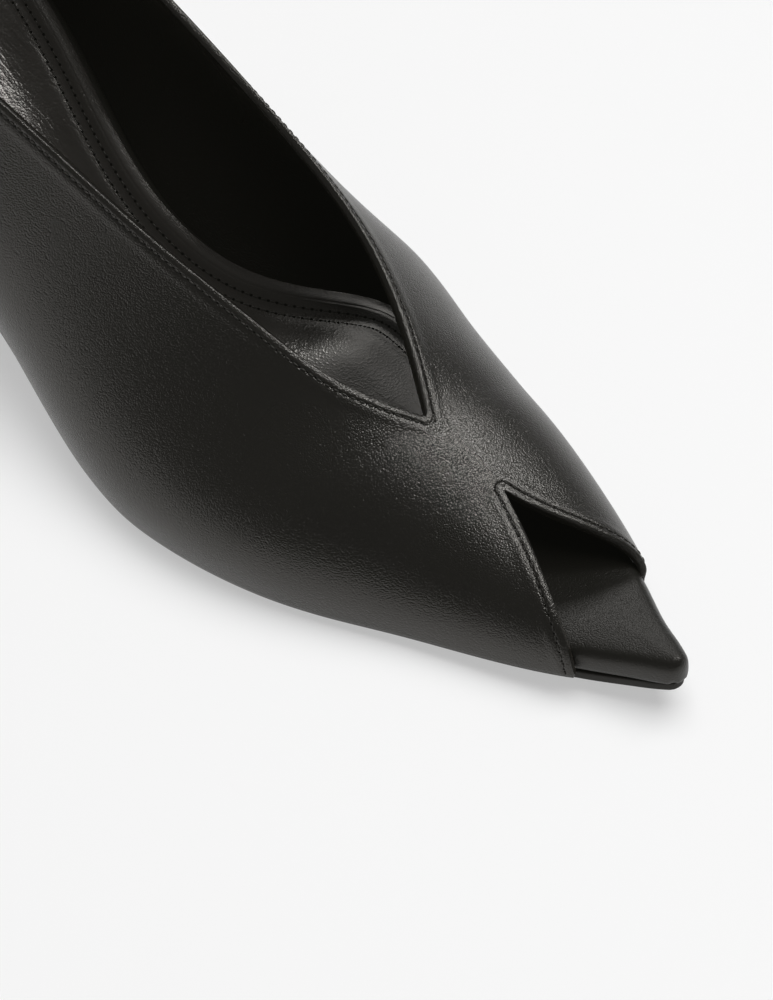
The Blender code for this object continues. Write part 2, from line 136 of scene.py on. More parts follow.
class SurfaceGroups:
    """Shader node groups that the finishes share; the grain's warp and fine noise are shares of its cells."""

    WARP_OCTAVES = 1.0
    FINE_OCTAVES = 2.0
    DRIFT_OCTAVES = 3.0
    CREASE_OCTAVES = 3.0
    WARP_SCALE = 0.6
    WARP_REACH = 0.0003
    FINE_SCALE = 1.7
    FINE_HEIGHT = 0.3
    CREASES_PER_METRE = (620.0, 120.0, 260.0)
    CREASE_DISTORTION = 0.6

    def __init__(self) -> None:
        """Builds each group once."""
        self.grain = self._grain()
        self.fold = self._fold()
        self.wrinkle = self._wrinkle()

    @staticmethod
    def _new(name: str, inputs: dict[str, float], outputs: list[str]) -> bpy.types.NodeTree:
        """Empty shader group with float sockets.

        Args:
            name: Name of the group.
            inputs: Input names with their default values.
            outputs: Output names.

        Returns:
            The group's node tree with its input and output nodes.
        """
        tree = bpy.data.node_groups.new(name, "ShaderNodeTree")
        for label, value in inputs.items():
            socket = tree.interface.new_socket(label, in_out="INPUT", socket_type="NodeSocketFloat")
            socket.default_value = value
        for label in outputs:
            tree.interface.new_socket(label, in_out="OUTPUT", socket_type="NodeSocketFloat")
        tree.nodes.new("NodeGroupInput").name = "in"
        tree.nodes.new("NodeGroupOutput").name = "out"
        return tree

    @staticmethod
    def feed(tree: bpy.types.NodeTree, socket: bpy.types.NodeSocket, value: object) -> None:
        """Links a socket to another one, or sets it to a plain number.

        Args:
            tree: Tree that holds the socket.
            socket: Input socket of a node.
            value: Output socket or number.
        """
        if isinstance(value, bpy.types.NodeSocket):
            tree.links.new(value, socket)
        else:
            socket.default_value = float(value)

    @staticmethod
    def math_node(tree: bpy.types.NodeTree, operation: str, *values: object) -> bpy.types.NodeSocket:
        """Math node on sockets or plain numbers.

        Args:
            tree: Tree that gets the node.
            operation: Name of the math operation.
            values: Sockets or numbers, in the order of the node's inputs.

        Returns:
            The node's output socket.
        """
        node = tree.nodes.new("ShaderNodeMath")
        node.operation = operation
        for socket, value in zip(node.inputs, values):
            SurfaceGroups.feed(tree, socket, value)
        return node.outputs[0]

    @staticmethod
    def ranged(tree: bpy.types.NodeTree, value: bpy.types.NodeSocket, source: tuple[object, object],
               target: tuple[float, float] = (0.0, 1.0)) -> bpy.types.NodeSocket:
        """Maps a value from one range to another.

        Args:
            tree: Tree that gets the node.
            value: Socket to map.
            source: Ends of the value's own range, sockets or numbers.
            target: Ends of the new range.

        Returns:
            The mapped value.
        """
        node = tree.nodes.new("ShaderNodeMapRange")
        tree.links.new(value, node.inputs["Value"])
        for label, end in zip(("From Min", "From Max", "To Min", "To Max"), (*source, *target)):
            SurfaceGroups.feed(tree, node.inputs[label], end)
        return node.outputs["Result"]

    @staticmethod
    def _noise(tree: bpy.types.NodeTree, place: bpy.types.NodeSocket, scale: object,
               detail: float) -> bpy.types.Node:
        """Noise texture on a vector.

        Args:
            tree: Tree that gets the node.
            place: Vector that it reads.
            scale: Socket or number for its scale.
            detail: Its octaves.

        Returns:
            The node.
        """
        node = tree.nodes.new("ShaderNodeTexNoise")
        node.inputs["Detail"].default_value = detail
        tree.links.new(place, node.inputs["Vector"])
        SurfaceGroups.feed(tree, node.inputs["Scale"], scale)
        return node

    def _grain(self) -> bpy.types.NodeTree:
        """Pebbled leather grain on object coordinates.

        Returns:
            Group that gives the grain's height and a slow drift of tone and gloss.
        """
        sizes = {"Cells per metre": 1600.0, "Drift per metre": 28.0}
        tree = self._new("leather_grain", sizes, ["Height", "Drift"])
        size, drift_size = (tree.nodes["in"].outputs[label] for label in sizes)
        place = tree.nodes.new("ShaderNodeTexCoord").outputs["Object"]
        warp_size = self.math_node(tree, "MULTIPLY", size, self.WARP_SCALE)
        warp = self._noise(tree, place, warp_size, self.WARP_OCTAVES)
        pull = tree.nodes.new("ShaderNodeVectorMath")
        pull.operation = "MULTIPLY_ADD"
        tree.links.new(warp.outputs["Color"], pull.inputs[0])
        pull.inputs[1].default_value = (self.WARP_REACH, self.WARP_REACH, self.WARP_REACH)
        tree.links.new(place, pull.inputs[2])
        cells = tree.nodes.new("ShaderNodeTexVoronoi")
        cells.feature = "F1"
        tree.links.new(pull.outputs[0], cells.inputs["Vector"])
        tree.links.new(size, cells.inputs["Scale"])
        away = cells.outputs["Distance"]
        pebble = self.math_node(tree, "SUBTRACT", 1.0, self.math_node(tree, "MULTIPLY", away, away))
        fine_size = self.math_node(tree, "MULTIPLY", size, self.FINE_SCALE)
        fine = self._noise(tree, place, fine_size, self.FINE_OCTAVES)
        height = self.math_node(tree, "MULTIPLY_ADD", fine.outputs["Fac"], self.FINE_HEIGHT, pebble)
        tree.links.new(height, tree.nodes["out"].inputs["Height"])
        drift = self._noise(tree, place, drift_size, self.DRIFT_OCTAVES)
        tree.links.new(drift.outputs["Fac"], tree.nodes["out"].inputs["Drift"])
        return tree

    def _fold(self) -> bpy.types.NodeTree:
        """Line at a distance from an edge.

        Returns:
            Group that gives a narrow groove with soft leather standing up behind it.
        """
        sizes = {"Groove mm": 1.4, "Half width mm": 0.26, "Swell": 0.0,
                 "Swell at mm": 1.1, "Swell half mm": 0.8}
        tree = self._new("folded_edge", sizes, ["Height"])
        groove, half, swell, swell_at, swell_half = (tree.nodes["in"].outputs[label] for label in sizes)
        away = tree.nodes.new("ShaderNodeAttribute")
        away.attribute_name = EDGE_ATTRIBUTE
        offset = self.math_node(tree, "SUBTRACT", away.outputs["Fac"], groove)
        dip = self._bell(tree, offset, half)
        rise = self._bell(tree, self.math_node(tree, "SUBTRACT", offset, swell_at), swell_half)
        height = self.math_node(tree, "SUBTRACT", self.math_node(tree, "MULTIPLY", rise, swell), dip)
        tree.links.new(height, tree.nodes["out"].inputs["Height"])
        return tree

    def _bell(self, tree: bpy.types.NodeTree, offset: bpy.types.NodeSocket,
              half: bpy.types.NodeSocket) -> bpy.types.NodeSocket:
        """Smooth bump of height one round an offset of zero.

        Args:
            tree: Tree that gets the nodes.
            offset: Distance from the middle.
            half: Distance at which the bump has mostly gone.

        Returns:
            The height.
        """
        reach = self.math_node(tree, "DIVIDE", offset, half)
        square = self.math_node(tree, "MULTIPLY", reach, reach)
        return self.math_node(tree, "EXPONENT", self.math_node(tree, "MULTIPLY", square, -1.0))

    def _wrinkle(self) -> bpy.types.NodeTree:
        """Fine creases along the shoe, in the arch only, where the lining is pulled round the bend.

        Returns:
            Group that gives their height.
        """
        sizes = {"Starts at m": 0.012, "Full at m": 0.040}
        tree = self._new("lining_wrinkles", sizes, ["Height"])
        starts, full = (tree.nodes["in"].outputs[label] for label in sizes)
        place = tree.nodes.new("ShaderNodeTexCoord").outputs["Object"]
        stretch = tree.nodes.new("ShaderNodeVectorMath")
        stretch.operation = "MULTIPLY"
        stretch.inputs[1].default_value = self.CREASES_PER_METRE
        tree.links.new(place, stretch.inputs[0])
        creases = self._noise(tree, stretch.outputs[0], 1.0, self.CREASE_OCTAVES)
        creases.inputs["Distortion"].default_value = self.CREASE_DISTORTION
        level = self.math_node(tree, "SUBTRACT", creases.outputs["Fac"], 0.5)
        split = tree.nodes.new("ShaderNodeSeparateXYZ")
        tree.links.new(place, split.inputs[0])
        where = self.ranged(tree, split.outputs["Y"], (starts, full))
        height = self.math_node(tree, "MULTIPLY", self.math_node(tree, "ABSOLUTE", level), where)
        tree.links.new(height, tree.nodes["out"].inputs["Height"])
        return tree


class Finishes:
    """Materials of the shoe, made once for each tone."""

    def __init__(self, groups: SurfaceGroups) -> None:
        """Keeps the shared groups.

        Args:
            groups: Node groups for grain, folded edges and creases.
        """
        self.groups = groups
        self.made: dict[str, bpy.types.Material] = {}

    def of(self, tone: Tone) -> bpy.types.Material:
        """Material of a tone, built on first use.

        Args:
            tone: The finish.

        Returns:
            Its material.
        """
        if tone.name not in self.made:
            self.made[tone.name] = self._build(tone)
        return self.made[tone.name]

    def _build(self, tone: Tone) -> bpy.types.Material:
        """Leather-like material: drifting tone and gloss, pebbled grain and the fold of an edge.

        Args:
            tone: The finish.

        Returns:
            The new material.
        """
        material = bpy.data.materials.new(tone.name)
        material.use_nodes = True
        tree = material.node_tree
        shader = tree.nodes["Principled BSDF"]
        shader.inputs["Specular IOR Level"].default_value = tone.specular
        shader.inputs["Specular Tint"].default_value = (*WARM_GLOSS, 1.0)
        shader.inputs["Sheen Weight"].default_value = tone.sheen
        shader.inputs["Sheen Roughness"].default_value = SHEEN_ROUGHNESS
        shader.inputs["Sheen Tint"].default_value = (*WARM_SHEEN, 1.0)
        grain = self._group(tree, self.groups.grain)
        grain.inputs["Cells per metre"].default_value = 1.0 / (tone.grain_mm * MM)
        colour = tree.nodes.new("ShaderNodeMix")
        colour.data_type = "RGBA"
        colour.inputs["A"].default_value = (*tone.colour, 1.0)
        colour.inputs["B"].default_value = (*tone.second, 1.0)
        tree.links.new(grain.outputs["Drift"], colour.inputs["Factor"])
        tree.links.new(colour.outputs["Result"], shader.inputs["Base Color"])
        tree.links.new(self._roughness(tree, tone, grain.outputs["Drift"]), shader.inputs["Roughness"])
        bump = self._bump(tree, grain.outputs["Height"], tone.grain_depth_mm)
        tree.links.new(bump.outputs["Normal"], shader.inputs["Normal"])
        if tone.fold_depth_mm:
            lines = self._group(tree, self.groups.fold)
            lines.inputs["Groove mm"].default_value = tone.fold_at_mm
            lines.inputs["Half width mm"].default_value = tone.fold_half_mm
            lines.inputs["Swell"].default_value = tone.fold_swell
            fold = self._bump(tree, lines.outputs["Height"], tone.fold_depth_mm)
            tree.links.new(fold.outputs["Normal"], bump.inputs["Normal"])
            bump = fold
        if tone.wrinkle_depth_mm:
            creases = self._group(tree, self.groups.wrinkle)
            wrinkle = self._bump(tree, creases.outputs["Height"], tone.wrinkle_depth_mm)
            tree.links.new(wrinkle.outputs["Normal"], bump.inputs["Normal"])
        return material

    @staticmethod
    def _roughness(tree: bpy.types.NodeTree, tone: Tone,
                   drift: bpy.types.NodeSocket) -> bpy.types.NodeSocket:
        """Drifting roughness of a finish, with the added roughness of its border where it has one.

        Args:
            tree: The material's tree.
            tone: The finish.
            drift: Slow drift of the gloss.

        Returns:
            The socket to link.
        """
        half = tone.roughness_spread / 2.0
        spread = (tone.roughness - half, tone.roughness + half)
        roughness = SurfaceGroups.ranged(tree, drift, DRIFT_RANGE, spread)
        if not tone.matte_within_mm:
            return roughness
        away = tree.nodes.new("ShaderNodeAttribute")
        away.attribute_name = EDGE_ATTRIBUTE
        blend = (tone.matte_within_mm - tone.matte_blend_mm, tone.matte_within_mm + tone.matte_blend_mm)
        border = SurfaceGroups.ranged(tree, away.outputs["Fac"], blend, (tone.matte_roughness, 0.0))
        return SurfaceGroups.math_node(tree, "ADD", roughness, border)

    @staticmethod
    def _group(tree: bpy.types.NodeTree, group: bpy.types.NodeTree) -> bpy.types.Node:
        """Places a shared group in a material's tree.

        Args:
            tree: The material's tree.
            group: The shared group.

        Returns:
            The group's node.
        """
        node = tree.nodes.new("ShaderNodeGroup")
        node.node_tree = group
        return node

    @staticmethod
    def _bump(tree: bpy.types.NodeTree, height: bpy.types.NodeSocket, depth_mm: float) -> bpy.types.Node:
        """Bump node of a depth.

        Args:
            tree: Tree that gets the node.
            height: Socket with the relief.
            depth_mm: Depth of one unit of the relief.

        Returns:
            The bump node.
        """
        node = tree.nodes.new("ShaderNodeBump")
        node.inputs["Strength"].default_value = 1.0
        node.inputs["Distance"].default_value = depth_mm * MM
        tree.links.new(height, node.inputs["Height"])
        return node


def linked(name: str, data: bpy.types.ID) -> bpy.types.Object:
    """Puts a new object into the scene.

    Args:
        name: Its name.
        data: Its mesh, light or camera.

    Returns:
        The object.
    """
    thing = bpy.data.objects.new(name, data)
    bpy.context.scene.collection.objects.link(thing)
    return thing


def points_of(mesh: bpy.types.Mesh) -> np.ndarray:
    """Vertices of a mesh.

    Args:
        mesh: The mesh.

    Returns:
        Rows x, y, z.
    """
    flat = np.empty(len(mesh.vertices) * 3)
    mesh.vertices.foreach_get("co", flat)
    return flat.reshape(-1, 3)


def distances_mm(points: np.ndarray, line: np.ndarray) -> np.ndarray:
    """Distance of each point from the nearest point of a line.

    Args:
        points: Rows x, y, z.
        line: Rows x, y, z, close together.

    Returns:
        Distances in millimetres.
    """
    tree = KDTree(len(line))
    for number, point in enumerate(line):
        tree.insert(point, number)
    tree.balance()
    return np.array([tree.find(point)[2] for point in points]) / MM


def mark_edge(mesh: bpy.types.Mesh, away_mm: np.ndarray) -> None:
    """Stores each vertex's distance from the edge, which the finishes read."""
    marks = mesh.attributes.new(EDGE_ATTRIBUTE, "FLOAT", "POINT")
    marks.data.foreach_set("value", away_mm.astype(np.float32))


def search_tree(points: np.ndarray, mesh: bpy.types.Mesh) -> BVHTree:
    """Search tree over a mesh's faces, with its vertices at the given points."""
    faces = [poly.vertices[:] for poly in mesh.polygons]
    return BVHTree.FromPolygons([Vector(p) for p in points], faces)


@dataclass
class CadCopy:
    """Copy of one CAD node: merged, turned to quads and smoothed, with its sharp rims held."""

    node: str
    tone: Tone
    slot: str
    levels: int = 2
    crease: float = 0.5
    sharp_deg: float = 50.0
    merge_mm: float = 0.004
    piece: bpy.types.Object = field(init=False, default=None)

    def build(self, finishes: Finishes) -> bpy.types.Object:
        """Builds, dresses and seats the piece.

        Args:
            finishes: Materials of the shoe.

        Returns:
            The finished object.
        """
        cage = self.cage()
        mesh = self.smoothed(cage)
        cage.free()
        self.piece = linked("dressed_" + self.node, mesh)
        self.dress(finishes)
        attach(self.piece, BODY)
        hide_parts(self.node)
        return self.piece

    def cage(self) -> bmesh.types.BMesh:
        """Coarse quads of the CAD node.

        Returns:
            The quads, with creases along their sharp edges.
        """
        cage = bmesh.new()
        cage.from_mesh(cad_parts[self.node].data)
        bmesh.ops.remove_doubles(cage, verts=cage.verts, dist=self.merge_mm * MM)
        limit = math.radians(self.sharp_deg)
        bmesh.ops.join_triangles(cage, faces=cage.faces, angle_face_threshold=limit,
                                 angle_shape_threshold=limit)
        crease = cage.edges.layers.float.new("crease_edge")
        for edge in cage.edges:
            edge.smooth = True
            edge[crease] = self.crease if self.is_sharp(edge) else 0.0
        cage.verts.index_update()
        return cage

    def is_sharp(self, edge: bmesh.types.BMEdge) -> bool:
        """True where two faces meet at more than the sharp angle."""
        return len(edge.link_faces) == 2 and edge.calc_face_angle(0.0) > math.radians(self.sharp_deg)

    def smoothed(self, cage: bmesh.types.BMesh) -> bpy.types.Mesh:
        """Mesh of the cage after subdivision; the cage's own vertices come first in it.

        Args:
            cage: The coarse quads.

        Returns:
            The fine mesh, smooth shaded.
        """
        coarse = bpy.data.meshes.new(self.node + "_cage")
        cage.to_mesh(coarse)
        holder = linked(self.node + "_cage", coarse)
        finer = holder.modifiers.new("finer", "SUBSURF")
        finer.levels = finer.render_levels = self.levels
        graph = bpy.context.evaluated_depsgraph_get()
        mesh = bpy.data.meshes.new_from_object(holder.evaluated_get(graph))
        bpy.data.objects.remove(holder)
        bpy.data.meshes.remove(coarse)
        mesh.name = self.node
        mesh.shade_smooth()
        return mesh

    def dress(self, finishes: Finishes) -> None:
        """Gives the piece its material."""
        self.piece.data.materials.clear()
        self.piece.data.materials.append(finishes.of(self.tone))


def resampled(points: np.ndarray, step: float) -> np.ndarray:
    """Points at even steps along a smooth curve through the given points.

    Args:
        points: Points of the curve in order.
        step: Distance between neighbouring points of the result.

    Returns:
        Rows x, y, z.
    """
    padded = np.vstack([2 * points[0] - points[1], points, 2 * points[-1] - points[-2]])
    share = np.linspace(0.0, 1.0, CURVE_STEPS, endpoint=False)[:, None]
    dense = []
    for before, start, end, after in zip(padded, padded[1:], padded[2:], padded[3:]):
        leave, arrive = (end - before) / 2.0, (after - start) / 2.0
        dense.append((2 * share**3 - 3 * share**2 + 1) * start + (share**3 - 2 * share**2 + share) * leave
                     + (3 * share**2 - 2 * share**3) * end + (share**3 - share**2) * arrive)
    dense = np.vstack([*dense, points[-1:]])
    run = np.concatenate([[0.0], np.cumsum(np.linalg.norm(np.diff(dense, axis=0), axis=1))])
    places = np.linspace(0.0, run[-1], max(2, int(round(run[-1] / step)) + 1))
    return np.column_stack([np.interp(places, run, dense[:, axis]) for axis in range(3)])


def ordered_loops(edges: list[bmesh.types.BMEdge]) -> list[list[int]]:
    """Closed loops of vertex numbers made by a set of edges.

    Args:
        edges: Edges in which every vertex has two.

    Returns:
        One list of vertex numbers for each loop.
    """
    links: dict[int, list[int]] = {}
    for edge in edges:
        a, b = (vert.index for vert in edge.verts)
        links.setdefault(a, []).append(b)
        links.setdefault(b, []).append(a)
    loops, seen = [], set()
    for start in sorted(links):
        if start in seen:
            continue
        loop, before, here = [start], None, start
        seen.add(start)
        while True:
            ahead = [n for n in links[here] if n != before and (n not in seen or n == start)]
            if not ahead or (ahead[0] == start and len(loop) > 2):
                break
            before, here = here, ahead[0]
            loop.append(here)
            seen.add(here)
        loops.append(loop)
    return loops


@dataclass
class Upper(CadCopy):
    """Leather upper: outside, folded edges and lining, with the lines that its stitches follow."""

    stitch_in_mm: float = 1.4
    corner_reach_mm: float = 1.0
    step_mm: float = 0.3
    tuck_mm: tuple[float, float, float] = (-1.1, 0.5, 1.5)
    tuck_reach_mm: float = 3.0
    seams: list[np.ndarray] = field(default_factory=list)
    rims: list[list[int]] = field(default_factory=list)
    inward: dict[int, np.ndarray] = field(default_factory=dict)

    def cage(self) -> bmesh.types.BMesh:
        """Coarse quads with a material number for outside, lining and edge; finds the rims too.

        Returns:
            The quads.
        """
        cage = super().cage()
        patches = self._patches(cage)
        outer, lining = patches[0], patches[1]
        for face in cage.faces:
            skin = Skin.OUTER if face in outer else Skin.LINING if face in lining else Skin.EDGE
            face.material_index = skin.value
        border = [e for e in cage.edges
                  if self.is_sharp(e) and sum(face in outer for face in e.link_faces) == 1]
        self._find_rims(cage, ordered_loops(border), outer)
        return cage

    def _patches(self, cage: bmesh.types.BMesh) -> list[set]:
        """Faces joined across soft edges, the largest patch first.

        Args:
            cage: The coarse quads.

        Returns:
            Sets of faces, by falling area.
        """
        left, patches = set(cage.faces), []
        while left:
            patch, front = set(), [left.pop()]
            while front:
                face = front.pop()
                patch.add(face)
                for edge in face.edges:
                    if not self.is_sharp(edge):
                        for other in edge.link_faces:
                            if other in left:
                                left.discard(other)
                                front.append(other)
            patches.append(patch)
        return sorted(patches, key=lambda patch: -sum(face.calc_area() for face in patch))

    def _find_rims(self, cage: bmesh.types.BMesh, loops: list[list[int]], outer: set) -> None:
        """Keeps the collar's rim and both rims of the toe cut, each from its V point on.

        Args:
            cage: The coarse quads.
            loops: Closed loops of vertex numbers round the outside.
            outer: Faces of the outside.
        """
        cage.verts.ensure_lookup_table()
        loops = sorted(loops, key=len)[-2:]
        collar = max(loops, key=lambda loop: min(cage.verts[i].co.z for i in loop))
        outline = next(loop for loop in loops if loop is not collar)
        throat = self._corners(cage, collar, 1)[0]
        self.rims = [collar[throat:] + collar[: throat + 1]]
        corners = sorted(self._corners(cage, outline, 3), key=lambda k: -cage.verts[outline[k]].co.z)
        turned = outline[corners[0]:] + outline[: corners[0] + 1]
        ends = sorted(turned.index(outline[k]) for k in corners[1:])
        self.rims += [turned[: ends[0] + 1], turned[ends[1]:][::-1]]
        for number in {i for rim in self.rims for i in rim}:
            vert = cage.verts[number]
            near = [face.calc_center_median() for face in vert.link_faces if face in outer]
            self.inward[number] = np.array(sum(near, Vector()) / len(near) - vert.co)

    @staticmethod
    def _corners(cage: bmesh.types.BMesh, loop: list[int], count: int) -> list[int]:
        """Places in a loop where it turns most.

        Args:
            cage: The coarse quads.
            loop: Vertex numbers in order.
            count: How many corners to give.

        Returns:
            Places in the loop.
        """
        points = np.array([cage.verts[i].co[:] for i in loop])
        ahead = np.roll(points, -1, axis=0) - points
        behind = points - np.roll(points, 1, axis=0)
        cosine = (ahead * behind).sum(1) / np.linalg.norm(ahead, axis=1) / np.linalg.norm(behind, axis=1)
        return list(np.argsort(cosine)[:count])

    def dress(self, finishes: Finishes) -> None:
        """Gives outside, lining and edge their materials, marks the edge's distance and lays the seams.

        Args:
            finishes: Materials of the shoe.
        """
        mesh = self.piece.data
        mesh.materials.clear()
        for tone in (self.tone, LINING_LEATHER, EDGE_LEATHER):
            mesh.materials.append(finishes.of(tone))
        points = self._tucked(points_of(mesh))
        mesh.vertices.foreach_set("co", points.ravel())
        mesh.update()
        rims = [resampled(points[rim], self.step_mm * MM) for rim in self.rims]
        mark_edge(mesh, distances_mm(points, np.vstack(rims)))
        skin = search_tree(points, mesh)
        closed = (True, False, False)
        self.seams = [self._seam(points, rim, skin, both) for rim, both in zip(self.rims, closed)]

    def _tucked(self, points: np.ndarray) -> np.ndarray:
        """Rounds the foot of the inner wing, which tucks in under the insole.

        Args:
            points: Vertices of the fine mesh.

        Returns:
            The vertices with those at the wing's foot moved.
        """
        foot = max((points[rim[-1]] for rim in self.rims[1:]), key=lambda point: point[0])
        away = np.linalg.norm(points - foot, axis=1) / (self.tuck_reach_mm * MM)
        return points + np.exp(-(away**2))[:, None] * np.array(self.tuck_mm) * MM

    def _seam(self, points: np.ndarray, rim: list[int], skin: BVHTree, both: bool) -> np.ndarray:
        """Line on the outside beside a rim, a little past its V point.

        Args:
            points: Vertices of the fine mesh, with the cage's own first.
            rim: Vertex numbers of the rim, from its V point on.
            skin: Search tree over the fine mesh.
            both: True where the rim's end is a V point too.

        Returns:
            Rows x, y, z, nx, ny, nz at even steps.
        """
        line = points[rim]
        run = np.vstack([line[1] - line[0], line[2:] - line[:-2], line[-1] - line[-2]])
        run /= np.linalg.norm(run, axis=1)[:, None]
        side = np.array([self.inward[i] for i in rim])
        side[0], side[-1] = side[1], side[-2] if both else side[-1]
        side -= run * (side * run).sum(1)[:, None]
        side /= np.linalg.norm(side, axis=1)[:, None]
        moved = line + side * self.stitch_in_mm * MM
        reach = self.corner_reach_mm * MM
        parts = [moved[:1] - run[:1] * reach, moved] + ([moved[-1:] + run[-1:] * reach] if both else [])
        rows = []
        for point in resampled(np.vstack(parts), self.step_mm * MM):
            place, normal, _, _ = skin.find_nearest(Vector(point))
            rows.append([*place, *normal])
        return np.array(rows)


@dataclass
class Stitches:
    """Row of stitches along a line on a surface, with dark ovals of painted shade in the needle holes between
    them.
    """

    name: str
    pitch_mm: float = 1.65
    length_mm: float = 1.15
    thick_mm: float = 0.30
    lift_mm: float = 0.04
    # Size of the near-black ovals of painted shade at the needle holes.
    hole_shade_mm: tuple[float, float, float] = (0.42, 0.36, 0.08)
    turn_share: float = 0.35
    bead_sides: int = 8
    bead_rings: int = 4

    def build(self, lines: list[np.ndarray], finishes: Finishes, slot: str) -> bpy.types.Object:
        """Builds all the rows as one piece.

        Args:
            lines: Lines as rows x, y, z, nx, ny, nz at even steps.
            finishes: Materials of the shoe.
            slot: The record's material slot; not used.

        Returns:
            The finished object.
        """
        rows = bmesh.new()
        thread = self._bead((self.length_mm, self.thick_mm, self.thick_mm), 0)
        # Flat near-black ovals at the needle holes: painted shade, not a colour of the leather or thread.
        hole_shade = self._bead(self.hole_shade_mm, 1)
        for line in lines:
            run = np.concatenate([[0.0], np.cumsum(np.linalg.norm(np.diff(line[:, :3], axis=0), axis=1))])
            count = max(1, int(run[-1] / (self.pitch_mm * MM)))
            pitch = run[-1] / count
            for number in range(count):
                for bead, middle, lift in ((thread, 0.5, self.lift_mm), (hole_shade, 0.0, 0.0)):
                    places = [number + middle + share for share in (-self.turn_share, 0.0, self.turn_share)]
                    ends = [self._at(line, run, pitch * place) for place in places]
                    one = bead.copy()
                    one.transform(self._place(*ends, lift))
                    rows.from_mesh(one)
                    bpy.data.meshes.remove(one)
        mesh = bpy.data.meshes.new(self.name)
        rows.to_mesh(mesh)
        rows.free()
        for bead in (thread, hole_shade):
            bpy.data.meshes.remove(bead)
        mesh.shade_smooth()
        for tone in (THREAD, NEEDLE_HOLE_SHADE):
            mesh.materials.append(finishes.of(tone))
        piece = linked(self.name, mesh)
        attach(piece, BODY)
        return piece

    @staticmethod
    def _at(line: np.ndarray, run: np.ndarray, where: float) -> np.ndarray:
        """Point and normal of a line at a distance from its start."""
        return np.array([np.interp(where, run, line[:, axis]) for axis in range(6)])

    def _bead(self, size_mm: tuple[float, float, float], material: int) -> bpy.types.Mesh:
        """One rounded bead at the origin, long in X: a stitch's thread, or a dark oval of painted shade for
        one of the needle holes.

        Args:
            size_mm: Length, width and height.
            material: Number of its material slot.

        Returns:
            Its mesh.
        """
        one = bmesh.new()
        size = Matrix.Diagonal((*(side * MM / 2.0 for side in size_mm), 1.0))
        bmesh.ops.create_uvsphere(one, u_segments=self.bead_sides, v_segments=self.bead_rings, radius=1.0,
                                  matrix=size)
        for face in one.faces:
            face.material_index = material
        mesh = bpy.data.meshes.new(f"{self.name}_{material}")
        one.to_mesh(mesh)
        one.free()
        return mesh

    @staticmethod
    def _place(start: np.ndarray, middle: np.ndarray, end: np.ndarray, lift_mm: float) -> Matrix:
        """Place of one bead on the surface.

        Args:
            start: Point and normal near the bead's first end.
            middle: Point and normal at its middle.
            end: Point and normal near its other end.
            lift_mm: Height of its middle above the surface.

        Returns:
            Its matrix.
        """
        along = Vector(end[:3] - start[:3]).normalized()
        across = Vector(middle[3:]).cross(along).normalized()
        up = along.cross(across)
        turn = Matrix((along, across, up)).transposed().to_4x4()
        return Matrix.Translation(Vector(middle[:3]) + up * lift_mm * MM) @ turn


@dataclass
class Pad(CadCopy):
    """Pad on the footbed whose top is raised by the distance from its edge."""

    outline_row_mm: float = 1.5
    outline_step_mm: float = 0.8

    def dress(self, finishes: Finishes) -> None:
        """Gives the pad its material and raises its top.

        Args:
            finishes: Materials of the shoe.
        """
        super().dress(finishes)
        mesh = self.piece.data
        points = points_of(mesh)
        outline = self._outline(points)
        inset = distances_mm(points * IN_PLAN, outline * IN_PLAN)
        normals = np.empty(len(points) * 3)
        mesh.vertices.foreach_get("normal", normals)
        upward = np.clip(normals.reshape(-1, 3)[:, 2], 0.0, 1.0)
        self.fit(points)
        points[:, 2] += self.relief(inset, points) * upward * MM
        mark_edge(mesh, inset)
        mesh.vertices.foreach_set("co", points.ravel())
        mesh.update()
        self.sew(outline, points)

    def fit(self, points: np.ndarray) -> None:
        """Moves vertices to close the pad against its neighbours; a plain pad is left as it is."""

    def relief(self, inset: np.ndarray, points: np.ndarray) -> np.ndarray:
        """Height that the top is raised by, in millimetres; a plain pad is left as it is."""
        return np.zeros_like(inset)

    def sew(self, outline: np.ndarray, points: np.ndarray) -> None:
        """Lays the pad's seams; a plain pad has none."""

    def _outline(self, points: np.ndarray) -> np.ndarray:
        """Outline in plan.

        Args:
            points: Vertices of the fine mesh.

        Returns:
            Rows x, y, z: left side from the front, heel, right side to the front.
        """
        rows = np.round((points[:, 1] - points[:, 1].min()) / (self.outline_row_mm * MM)).astype(int)
        left, right = [], []
        for row in range(rows.max() + 1):
            line = points[rows == row]
            if len(line):
                left.append(line[line[:, 0].argmin()])
                right.append(line[line[:, 0].argmax()])
        return resampled(np.array(left + right[::-1]), self.outline_step_mm * MM)


@dataclass
class Insole(Pad):
    """Covered insole, softly crowned where it shows at the toe cut."""

    crown_mm: float = 0.80
    crown_run_mm: float = 9.0
    crown_from: float = -0.066
    crown_full: float = -0.082
    wing_foot: tuple[float, float, float] = (0.0155, -0.1000, 0.0080)
    wing_reach_mm: float = 10.0
    widen_mm: float = 0.6

    def fit(self, points: np.ndarray) -> None:
        """Widens the edge a little, in place, where it meets the foot of the inner wing."""
        away = np.linalg.norm(points - np.array(self.wing_foot), axis=1) / (self.wing_reach_mm * MM)
        points[:, 0] += self.widen_mm * MM * np.exp(-(away**2))

    def relief(self, inset: np.ndarray, points: np.ndarray) -> np.ndarray:
        """Height of the crown, none behind the toe cut.

        Args:
            inset: Distances from the edge in millimetres.
            points: Vertices of the fine mesh.

        Returns:
            Heights in millimetres.
        """
        toe = np.clip((points[:, 1] - self.crown_from) / (self.crown_full - self.crown_from), 0.0, 1.0)
        run = 1.0 - np.clip(inset / self.crown_run_mm, 0.0, 1.0)
        return self.crown_mm * (1.0 - run**2) * toe * toe * (3.0 - 2.0 * toe)


